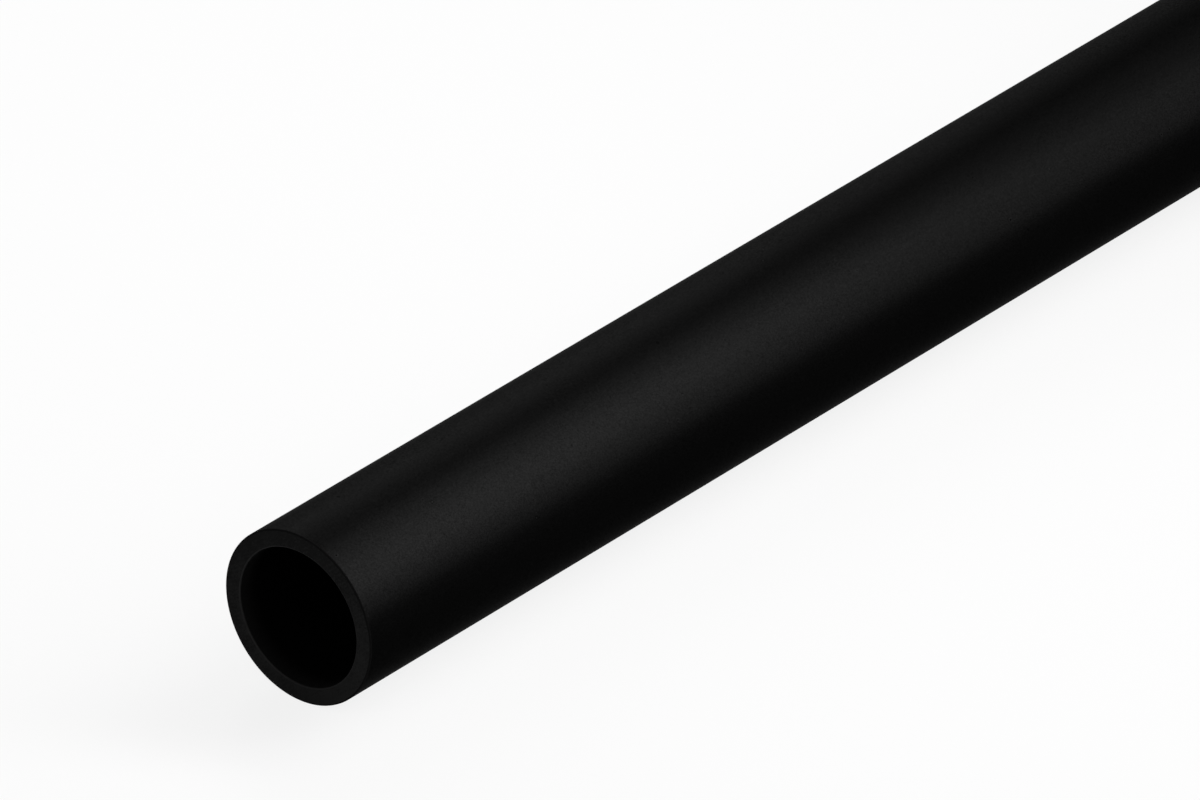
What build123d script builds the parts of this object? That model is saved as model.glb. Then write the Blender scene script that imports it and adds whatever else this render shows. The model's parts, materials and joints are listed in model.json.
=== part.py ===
from build123d import *
import os

# A straight length of round plastic pipe, lying on its side.
# The pipe's axis is X, and the origin is on that axis at mid-length.

# Section of nominal one inch pipe with a schedule 40 wall
OUTSIDE_DIAMETER = 33.40
WALL = 3.38

# Stock length, sawn square at both ends
LENGTH = 1016.0

# The saw's burr is scraped off, which breaks the two edges of each end
OUTER_EDGE_BREAK = 0.30
BORE_EDGE_BREAK = 0.25


def drawn_section():
    """The ring that leaves the extrusion die, drawn across the pipe's axis."""
    outer_radius = OUTSIDE_DIAMETER / 2
    ring = Circle(outer_radius) - Circle(outer_radius - WALL)
    return Plane.YZ * ring


def sawn_length(section):
    """The extrusion between its two saw cuts, half on each side of the origin."""
    return extrude(section, amount=LENGTH / 2, both=True)


def circles_by_radius(pipe):
    """The pipe's circular edges in groups of one radius, smallest radius first."""
    return pipe.edges().filter_by(GeomType.CIRCLE).group_by(SortBy.RADIUS)


def scraped_ends(pipe):
    """The pipe with the sharp edges of both its ends broken, at the bore and outside."""
    bore_rims = circles_by_radius(pipe)[0]
    pipe = chamfer(bore_rims, BORE_EDGE_BREAK)
    outer_rims = circles_by_radius(pipe)[-1]
    return chamfer(outer_rims, OUTER_EDGE_BREAK)


def make_pipe():
    return scraped_ends(sawn_length(drawn_section()))


os.makedirs("parts", exist_ok=True)
export_step(make_pipe(), "parts/pipe.step")
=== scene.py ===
import json
import math

import bpy
from mathutils import Matrix, Vector


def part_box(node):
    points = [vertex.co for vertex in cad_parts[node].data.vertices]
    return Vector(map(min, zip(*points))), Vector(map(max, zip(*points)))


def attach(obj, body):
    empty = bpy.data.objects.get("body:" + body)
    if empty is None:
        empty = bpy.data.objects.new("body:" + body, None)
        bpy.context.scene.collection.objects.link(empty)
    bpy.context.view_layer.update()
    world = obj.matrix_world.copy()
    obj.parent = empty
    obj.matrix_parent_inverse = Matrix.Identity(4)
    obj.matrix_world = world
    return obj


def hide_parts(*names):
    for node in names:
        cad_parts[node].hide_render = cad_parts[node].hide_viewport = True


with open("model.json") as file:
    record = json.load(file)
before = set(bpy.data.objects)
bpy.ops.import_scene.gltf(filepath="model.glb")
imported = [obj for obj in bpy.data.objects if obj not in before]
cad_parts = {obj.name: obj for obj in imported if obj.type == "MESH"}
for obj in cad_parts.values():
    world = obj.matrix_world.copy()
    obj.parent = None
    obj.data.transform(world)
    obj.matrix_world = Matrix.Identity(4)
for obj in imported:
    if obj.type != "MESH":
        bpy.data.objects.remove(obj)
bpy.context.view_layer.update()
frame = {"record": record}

MM = 0.001

# Sizes of the pipe, from the frame
mounts = {mount["name"]: mount for mount in frame["record"]["mounts"]}
FRONT_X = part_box("pipe")[0].x
REAR_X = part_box("pipe")[1].x
LENGTH = REAR_X - FRONT_X
OUTER_RADIUS = mounts["spigot_front"]["dims"]["r_mm"] * MM
BORE_RADIUS = mounts["bore_front"]["dims"]["r_mm"] * MM
WALL = OUTER_RADIUS - BORE_RADIUS
OUTER_EDGE_BREAK = (LENGTH - mounts["spigot_front"]["dims"]["length_mm"] * MM) / 2
BORE_EDGE_BREAK = (LENGTH - mounts["bore_front"]["dims"]["length_mm"] * MM) / 2
FLOOR_Z = -OUTER_RADIUS

# Fineness of the mesh, and how near a point has to be to count as being at a place
ROUND_STEPS = 192
LENGTH_STEPS = 64
EDGE_STEPS = 3
SMOOTH_ANGLE = math.radians(32)
NEAR = 0.05 * MM

# The skin's sheen: its share of a full gloss, and its roughness
SKIN_SHEEN = 0.0218
SKIN_ROUGHNESS = 0.34

# The sheen of the scraped edges and the bore, as the same kind of share
EDGE_SHEEN = 0.0174

# The refractive index behind both of these kinds of sheen
SHEEN_INDEX = 2.0

# The photograph's view of the pipe's front end
IMAGE_WIDTH = 1200
IMAGE_HEIGHT = 800
FRONT_CENTRE_PIXEL = (297.8, 617.9)
VIEW_AZIMUTH = math.radians(-50.0)
VIEW_ELEVATION = math.radians(29.8)
VIEW_DISTANCE = 2.79
SENSOR_WIDTH = 36.0
LENS = 482.6

# How far the floor is whitened towards the photograph's plain white, and its width
FLOOR_WHITENESS = 0.85
FLOOR_WIDTH = 160

# The sky lamps in their arc over the pipe: how far they lean back, and each one's angle
# in degrees with its level on the floor
SKY_LEAN = 0.66
SKY_ARC = (
    (10, 0.0184),
    (26, 0.0348),
    (42, 0.0737),
    (60, 0.0760),
    (80, 0.0418),
    (102, 0.0448),
    (146, 0.0268),
    (164, 0.0163),
)


def deselect_everything():
    bpy.ops.object.select_all(action="DESELECT")


def select_in_mesh(piece, kind, wanted):
    """Selects just the edges or faces of the piece that wanted says yes to."""
    bpy.ops.mesh.select_mode(type=kind)
    bpy.ops.mesh.select_all(action="DESELECT")
    bpy.ops.object.mode_set(mode="OBJECT")
    parts = {"EDGE": piece.data.edges, "FACE": piece.data.polygons}[kind]
    for part in parts:
        part.select = wanted(part)
    bpy.ops.object.mode_set(mode="EDIT")


def distance_from_axis(point):
    return math.hypot(point.y, point.z)


def is_end_cap(face):
    return abs(face.normal.x) > 0.99 and distance_from_axis(face.center) < NEAR


def edge_corners(piece, edge):
    return [piece.data.vertices[corner].co for corner in edge.vertices]


def is_rim(piece, edge, end_x, radius):
    """True for an edge on the circle of that radius at one end."""
    return all(
        abs(corner.x - end_x) < NEAR and abs(distance_from_axis(corner) - radius) < NEAR
        for corner in edge_corners(piece, edge)
    )


def runs_along_pipe(piece, edge):
    first, second = edge_corners(piece, edge)
    return abs(first.x - second.x) > 0.9 * LENGTH


def sawn_blank():
    """A solid bar with the pipe's outside, between the two saw cuts."""
    deselect_everything()
    bpy.ops.mesh.primitive_cylinder_add(
        vertices=ROUND_STEPS,
        radius=OUTER_RADIUS,
        depth=LENGTH,
        end_fill_type="NGON",
        location=((FRONT_X + REAR_X) / 2, 0, 0),
        rotation=(0, math.pi / 2, 0),
    )
    blank = bpy.context.object
    blank.name = "pipe_body"
    blank.data.name = "pipe_body"
    bpy.ops.object.transform_apply(location=True, rotation=True, scale=True)
    return blank


def open_bore(pipe):
    """Insets both ends by the wall and bridges the two discs, which opens the bore."""
    bpy.ops.object.mode_set(mode="EDIT")
    select_in_mesh(pipe, "FACE", is_end_cap)
    bpy.ops.mesh.inset(thickness=WALL, use_individual=True)
    select_in_mesh(pipe, "FACE", is_end_cap)
    bpy.ops.mesh.bridge_edge_loops()
    bpy.ops.object.mode_set(mode="OBJECT")


def break_edges(pipe):
    """Rounds over the sharp rims of both ends, as scraping off the saw's burr does."""
    bpy.ops.object.mode_set(mode="EDIT")
    for end_x in (FRONT_X, REAR_X):
        for radius, width in ((OUTER_RADIUS, OUTER_EDGE_BREAK), (BORE_RADIUS, BORE_EDGE_BREAK)):
            select_in_mesh(pipe, "EDGE", lambda edge: is_rim(pipe, edge, end_x, radius))
            bpy.ops.mesh.bevel(offset=width, segments=EDGE_STEPS, affect="EDGES")
    bpy.ops.object.mode_set(mode="OBJECT")


def divide_length(pipe):
    """Cuts the long wall into short bands, so that its faces are not slivers."""
    bpy.ops.object.mode_set(mode="EDIT")
    select_in_mesh(pipe, "EDGE", lambda edge: runs_along_pipe(pipe, edge))
    bpy.ops.mesh.subdivide(number_cuts=LENGTH_STEPS - 1)
    bpy.ops.object.mode_set(mode="OBJECT")


def smooth_wall(pipe):
    """Shades the wall as round and keeps the sawn rings flat."""
    bpy.ops.object.shade_smooth_by_angle(angle=SMOOTH_ANGLE)
    bpy.ops.object.modifier_add(type="WEIGHTED_NORMAL")
    pipe.modifiers[-1].keep_sharp = True
    pipe.modifiers[-1].weight = 100
    bpy.ops.object.modifier_apply(modifier=pipe.modifiers[-1].name)


class Signal:
    """An output socket of a material's nodes. Arithmetic on signals adds their Math nodes."""

    def __init__(self, tree, socket=None):
        self.tree = tree
        self.socket = socket

    def node(self, kind, settings=None, inputs=None, output=0):
        """Adds a node, makes its settings, fills or links its inputs, and gives one output."""
        made = self.tree.nodes.new(kind)
        for name, value in (settings or {}).items():
            setattr(made, name, value)
        for name, value in (inputs or {}).items():
            if isinstance(value, Signal):
                self.tree.links.new(value.socket, made.inputs[name])
            else:
                made.inputs[name].default_value = value
        return Signal(self.tree, made.outputs[output] if made.outputs else None)

    def math(self, operation, *values):
        return self.node("ShaderNodeMath", {"operation": operation}, dict(enumerate(values)))

    def __add__(self, other):
        return self.math("ADD", self, other)

    def __radd__(self, other):
        return self.math("ADD", other, self)

    def __sub__(self, other):
        return self.math("SUBTRACT", self, other)

    def __rsub__(self, other):
        return self.math("SUBTRACT", other, self)

    def __mul__(self, other):
        return self.math("MULTIPLY", self, other)

    def __rmul__(self, other):
        return self.math("MULTIPLY", other, self)

    def vector(self, operation, *values, output=0):
        inputs = dict(enumerate(values))
        return self.node("ShaderNodeVectorMath", {"operation": operation}, inputs, output)

    def absolute(self):
        return self.math("ABSOLUTE", self)

    def sine(self):
        return self.math("SINE", self)

    def or_greater(self, other):
        return self.math("MAXIMUM", self, other)

    def scaled(self, factors):
        """A vector signal times one factor, or each of its three parts times its own."""
        if not isinstance(factors, tuple):
            factors = (factors, factors, factors)
        return self.vector("MULTIPLY", self, factors)

    def other_output(self, index):
        """Another output of the node that this signal comes from."""
        return Signal(self.tree, self.socket.node.outputs[index])

    def noise(self, detail=2.0, roughness=0.5):
        """Noise about 0, within 1 either way, read at this vector signal."""
        inputs = {"Vector": self, "Scale": 1.0, "Detail": detail, "Roughness": roughness}
        return 2 * self.node("ShaderNodeTexNoise", {}, inputs) - 1

    def noise_vector(self):
        """Noise in three directions, each about 0 and within 0.5 either way."""
        colour = self.node("ShaderNodeTexNoise", {}, {"Vector": self, "Scale": 1.0}, output=1)
        return self.vector("SUBTRACT", colour, (0.5, 0.5, 0.5))

    def between(self, low, high):
        """0 below low, 1 above high, and a smooth step between."""
        settings = {"interpolation_type": "SMOOTHSTEP"}
        inputs = {"Value": self, "From Min": low, "From Max": high}
        return self.node("ShaderNodeMapRange", settings, inputs)

    def blend(self, low_colour, high_colour):
        """A colour from low_colour at 0 to high_colour at 1."""
        settings = {"data_type": "RGBA"}
        inputs = {0: self, 6: (*low_colour, 1), 7: (*high_colour, 1)}
        return self.node("ShaderNodeMix", settings, inputs, output=2)


def grey(level):
    return (level, level, level)


def new_material(name):
    """An empty material, and the signal that its nodes are made through."""
    material = bpy.data.materials.new(name)
    material.use_nodes = True
    material.node_tree.nodes.clear()
    return material, Signal(material.node_tree)


def place_on_piece(start):
    """Where a point lies on its piece, in metres."""
    return start.node("ShaderNodeTexCoord", output=3)


def finish_surface(start, height, **inputs):
    """Closes a material with its plastic: height in millimetres becomes relief."""
    relief = start.node("ShaderNodeBump", {}, {"Strength": 1.0, "Distance": MM, "Height": height})
    plastic_inputs = {name.replace("_", " "): value for name, value in inputs.items()}
    plastic = start.node("ShaderNodeBsdfPrincipled", {}, {**plastic_inputs, "Normal": relief})
    start.node("ShaderNodeOutputMaterial", {}, {"Surface": plastic})


def matte_grain(place):
    """The fine even grain of the plastic, about a third of a millimetre across."""
    grains_per_metre = 3000
    return place.scaled(grains_per_metre).noise(detail=1.0)


def mottle(place):
    """Soft uneven spots of a millimetre or two in the plastic's sheen."""
    spots_per_metre = 700
    return place.scaled(spots_per_metre).noise(detail=1.0)


def cooling_clouds(place):
    """Broad soft patches where the wall cooled unevenly."""
    clouds_per_metre = (9, 30, 30)
    return place.scaled(clouds_per_metre).noise(detail=1.0)


def die_lines(place):
    """Faint lines that the die draws along the whole pipe."""
    lines_per_metre = (1.5, 1100, 1100)
    return place.scaled(lines_per_metre).noise(detail=3.0, roughness=0.6)


def flaws(place):
    """Scattered specks above 0 and pits below 0, about half a millimetre across, with rims."""
    flaws_per_metre = 260
    notches_per_metre = 3500
    raggedness = place.scaled(notches_per_metre).noise_vector().scaled(0.25 * MM)
    cells = place.vector("ADD", place, raggedness).scaled(flaws_per_metre)
    nearest = cells.node("ShaderNodeTexVoronoi", {"feature": "F1"}, {"Vector": cells, "Scale": 1.0})
    speck_or_pit = 5 * nearest.other_output(1) - 2.5
    distance_in_mm = nearest * (1 / (flaws_per_metre * MM))
    core = 1 - distance_in_mm.between(0.12, 0.26)
    rim = distance_in_mm.between(0.20, 0.30) * (1 - distance_in_mm.between(0.30, 0.44))
    return speck_or_pit * (core - 0.5 * rim)


def slant_of(start):
    """0 where the surface faces the viewer, and 1 where it is seen edge-on."""
    return start.node("ShaderNodeLayerWeight", {}, {"Blend": 0.5}, output=1)


def sheen_by_slant(slant):
    """How strong the sheen is at each slant: weaker at a middle slant, and strong edge-on."""
    return 1 - 0.52 * slant.between(0.15, 0.48) + 0.70 * slant.between(0.56, 0.95)


def extruded_skin():
    material, start = new_material("extruded_skin")
    place = place_on_piece(start)
    grain = matte_grain(place)
    spots = mottle(place)
    lines = die_lines(place)
    clouds = cooling_clouds(place)
    specks = flaws(place)
    slant = slant_of(start)
    grain_share = 0.66 + 0.34 * slant.between(0.30, 0.60)
    tone = 0.5 + 0.25 * clouds + 0.2 * lines + 0.25 * grain
    sheen = grain_share * grain + 0.08 * spots + 0.02 * lines + 0.04 * clouds + 0.80 * specks
    finish_surface(
        start,
        height=0.0035 * grain + 0.0020 * lines + 0.006 * specks,
        Base_Color=tone.blend(grey(0.0004), grey(0.0007)),
        Roughness=0.50 + 0.03 * grain + 0.03 * clouds,
        Specular_IOR_Level=0.0,
        Sheen_Weight=0.0525,
        Sheen_Roughness=0.15,
        Coat_Weight=SKIN_SHEEN * (1 + sheen) * sheen_by_slant(slant),
        Coat_Roughness=SKIN_ROUGHNESS,
        Coat_IOR=SHEEN_INDEX,
    )
    return material


def blade_marks(place):
    """Shallow arcs left on the sawn ring by a blade whose centre is off to one side."""
    blade_centre = (0.0, 0.085, 0.120)
    waves_per_metre = 1300
    bends_per_metre = 160
    radius = place.vector("DISTANCE", place.scaled((0, 1, 1)), blade_centre, output=1)
    wander = place.scaled(bends_per_metre).noise()
    phase = radius * (math.tau * waves_per_metre) + 2.5 * wander
    return phase.sine()


def painted_light_low_side(place):
    """From -1 at the ring's upper side to 1 at its low side."""
    downwards = (0, -0.3 / OUTER_RADIUS, -0.95 / OUTER_RADIUS)
    return place.vector("DOT_PRODUCT", place, downwards, output=1)


def sawn_ring():
    """The flat sawn end, with a paler low side: painted light that lifts the shade there."""
    material, start = new_material("sawn_ring")
    place = place_on_piece(start)
    grain = matte_grain(place)
    spots = mottle(place)
    marks = blade_marks(place)
    # The low-side share is painted light, lifting the shade on the ring's low side.
    tone = 0.5 + 1.0 * grain + 0.15 * marks + 0.60 * spots + 0.60 * painted_light_low_side(place)
    finish_surface(
        start,
        height=0.0040 * grain + 0.0010 * marks,
        Base_Color=tone.blend(grey(0.0064), grey(0.0130)),
        Roughness=0.62 + 0.04 * grain,
        Specular_IOR_Level=0.0,
        Coat_Weight=0.05 * (1 + 0.60 * grain + 0.20 * spots),
        Coat_Roughness=0.6,
        Coat_IOR=1.5,
    )
    return material


def scraped_edge(name, dark, light):
    """A narrow edge that the scraper has drawn smooth, with small nicks along it."""
    nicks_per_metre = 1400
    material, start = new_material(name)
    place = place_on_piece(start)
    grain = matte_grain(place)
    nicks = place.scaled(nicks_per_metre).noise()
    tone = 0.5 + 0.4 * nicks
    finish_surface(
        start,
        height=0.0030 * grain + 0.0030 * nicks,
        Base_Color=tone.blend(grey(dark), grey(light)),
        Roughness=0.5 + 0.05 * nicks,
        Specular_IOR_Level=0.0,
        Coat_Weight=EDGE_SHEEN * (1 + 0.2 * nicks),
        Coat_Roughness=0.5,
        Coat_IOR=SHEEN_INDEX,
    )
    return material


def depth_in_mm(place):
    """How far a place lies in from the nearer sawn end, in millimetres."""
    from_middle = place.vector("DOT_PRODUCT", place, (1 / MM, 0, 0), output=1)
    return LENGTH / MM / 2 - from_middle.absolute()


def bore_wall():
    """The inside of the wall. Its paler lip stands for the light that the photograph has there."""
    lip_depth_in_mm = 5.0
    material, start = new_material("bore_wall")
    place = place_on_piece(start)
    grain = matte_grain(place)
    lines = die_lines(place)
    lip = 1 - depth_in_mm(place).between(0.0, lip_depth_in_mm)
    tone = lip * (1 + 0.25 * lines + 0.2 * grain)
    finish_surface(
        start,
        height=0.0030 * grain + 0.0030 * lines,
        Base_Color=tone.blend(grey(0.0008), grey(0.0080)),
        Roughness=0.5 + 0.03 * grain,
        Specular_IOR_Level=0.0,
        Coat_Weight=EDGE_SHEEN * (1 + 0.15 * lines),
        Coat_Roughness=0.5,
        Coat_IOR=SHEEN_INDEX,
    )
    return material


def surface_of(face):
    """Which finish a face has, by how far it turns to an end and how far out it lies."""
    turned_to_end = abs(face.normal.x)
    is_outside = distance_from_axis(face.center) > BORE_RADIUS + WALL / 2
    if turned_to_end > 0.999:
        return "sawn"
    if turned_to_end > 0.05:
        return "outer edge" if is_outside else "bore edge"
    return "skin" if is_outside else "bore"


def finish_pipe(pipe):
    finishes = {
        "skin": extruded_skin(),
        "sawn": sawn_ring(),
        "outer edge": scraped_edge("scraped_outer_edge", dark=0.0022, light=0.0038),
        # The bore edge's pale colour is a painted highlight: the light line the inner edge catches.
        "bore edge": scraped_edge("scraped_bore_edge_painted_highlight", dark=0.0150, light=0.0240),
        "bore": bore_wall(),
    }
    pipe.data.materials.clear()
    for material in finishes.values():
        pipe.data.materials.append(material)
    order = list(finishes)
    for face in pipe.data.polygons:
        face.material_index = order.index(surface_of(face))


def make_pipe():
    pipe = sawn_blank()
    open_bore(pipe)
    break_edges(pipe)
    divide_length(pipe)
    smooth_wall(pipe)
    finish_pipe(pipe)
    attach(pipe, "root")
    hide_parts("pipe")


def white_backdrop_rays(start):
    """1 for rays from the camera, from gloss and through glass, and 0 for all others."""
    camera_ray = start.node("ShaderNodeLightPath", output=0)
    glossy_ray = start.node("ShaderNodeLightPath", output=3)
    transmission_ray = start.node("ShaderNodeLightPath", output=6)
    return camera_ray.or_greater(glossy_ray).or_greater(transmission_ray)


def make_floor():
    """A wide pale floor under the pipe, which keeps part of the pipe's shadow."""
    patches_per_metre = 3
    deselect_everything()
    bpy.ops.mesh.primitive_plane_add(size=FLOOR_WIDTH, location=(0, 0, FLOOR_Z))
    floor = bpy.context.object
    floor.name = "floor"
    material, start = new_material("pale_floor")
    place = place_on_piece(start)
    tone = 0.5 + 0.5 * place.scaled(patches_per_metre).noise()
    shaded = start.node("ShaderNodeBsdfPrincipled", {}, {
        "Base Color": tone.blend(grey(0.82), grey(0.84)),
        "Roughness": 0.9,
        "Specular IOR Level": 0.0,
    })
    white = start.node("ShaderNodeEmission", {}, {"Color": (1, 1, 1, 1), "Strength": 1.0})
    share = FLOOR_WHITENESS * white_backdrop_rays(start)
    surface = start.node("ShaderNodeMixShader", {}, {0: share, 1: shaded, 2: white})
    start.node("ShaderNodeOutputMaterial", {}, {"Surface": surface})
    floor.data.materials.append(material)


def turn_towards(direction, long_axis=(0, 0, 1)):
    """The turn that points a lamp or camera along a direction, with its height near long_axis."""
    back = -Vector(direction).normalized()
    side = Vector(long_axis).cross(back).normalized()
    return Matrix((side, back.cross(side), back)).transposed().to_quaternion()


def put_in_scene(thing, location, turn):
    """Adds a lamp or camera to the scene at its place and turn."""
    placed = bpy.data.objects.new(thing.name, thing)
    placed.rotation_mode = "QUATERNION"
    placed.rotation_quaternion = turn
    placed.location = location
    bpy.context.scene.collection.objects.link(placed)
    return placed


def behind_front_end(angle, lean):
    """A direction towards the rear that leans back and stands at an angle round the pipe's axis.

    The angle goes from 0 at the near floor over 90 above the pipe to 180 at the far floor.
    """
    turn = math.radians(angle)
    across = math.sqrt(1 - lean * lean)
    return Vector((lean, -across * math.cos(turn), across * math.sin(turn)))


def make_softbox(name, angle, lean, distance, width, height, spread, level):
    """A soft lamp behind the front end and aimed at it, with its height along the lamps' arc.

    The level is what a small lamp of the same power would give a plain floor at that end.
    """
    lamp = bpy.data.lights.new(name, "AREA")
    lamp.shape = "RECTANGLE"
    lamp.size = width
    lamp.size_y = height
    lamp.spread = math.radians(spread)
    half_spread = lamp.spread / 2
    brightening_by_spread = math.tan(half_spread) / (math.tan(half_spread) - half_spread)
    direction = behind_front_end(angle, lean)
    lamp.energy = level * (math.pi * distance) ** 2 / direction.z / brightening_by_spread
    location = Vector((FRONT_X, 0, 0)) + direction * distance
    along_arc = (0, math.sin(math.radians(angle)), math.cos(math.radians(angle)))
    box = put_in_scene(lamp, location, turn_towards(-direction, along_arc))
    box.visible_camera = False


def make_sky_lamp(name, towards, spread, level):
    """A lamp as far as the sky, which lights a plain floor everywhere to level."""
    lamp = bpy.data.lights.new(name, "SUN")
    direction = Vector(towards).normalized()
    lamp.energy = level * math.pi / direction.z
    lamp.angle = math.radians(spread)
    put_in_scene(lamp, direction, turn_towards(-direction))


def make_world(room_light):
    """White to the camera and in reflections, and room_light on everything else."""
    world = bpy.data.worlds.new("studio")
    world.use_nodes = True
    world.node_tree.nodes.clear()
    bpy.context.scene.world = world
    start = Signal(world.node_tree)
    strength = room_light + (1 - room_light) * white_backdrop_rays(start)
    background = start.node("ShaderNodeBackground", {}, {"Color": (1, 1, 1, 1), "Strength": strength})
    start.node("ShaderNodeOutputWorld", {}, {"Surface": background})


def make_camera():
    """The photograph's long lens, level, with the front end where the photograph has it."""
    lens = bpy.data.cameras.new("camera")
    lens.sensor_width = SENSOR_WIDTH
    lens.lens = LENS
    lens.clip_start = 0.05
    lens.clip_end = 200
    back = Vector((
        math.sin(VIEW_AZIMUTH) * math.cos(VIEW_ELEVATION),
        -math.cos(VIEW_AZIMUTH) * math.cos(VIEW_ELEVATION),
        math.sin(VIEW_ELEVATION),
    ))
    right = Vector((math.cos(VIEW_AZIMUTH), math.sin(VIEW_AZIMUTH), 0))
    up = back.cross(right)
    pixel_size = VIEW_DISTANCE * SENSOR_WIDTH / LENS / IMAGE_WIDTH
    front_right = (FRONT_CENTRE_PIXEL[0] - IMAGE_WIDTH / 2) * pixel_size
    front_up = (IMAGE_HEIGHT / 2 - FRONT_CENTRE_PIXEL[1]) * pixel_size
    front_centre = Vector((FRONT_X, 0, 0))
    location = front_centre + back * VIEW_DISTANCE - right * front_right - up * front_up
    bpy.context.scene.camera = put_in_scene(lens, location, turn_towards(-back))


def light_studio():
    make_world(room_light=0.105)
    for angle, level in SKY_ARC:
        make_sky_lamp("sky", behind_front_end(angle, SKY_LEAN), spread=24, level=level)
    make_sky_lamp("front_fill", towards=(-0.66, -0.25, 0.70), spread=40, level=0.115)
    make_softbox(
        "key_box",
        angle=62,
        lean=0.68,
        distance=0.62,
        width=0.13,
        height=0.72,
        spread=90,
        level=0.562,
    )
    make_softbox(
        "back_box",
        angle=138,
        lean=0.64,
        distance=0.68,
        width=0.25,
        height=0.40,
        spread=90,
        level=0.192,
    )


make_camera()
make_pipe()
make_floor()
light_studio()
bpy.context.scene.view_settings.view_transform = "Standard"
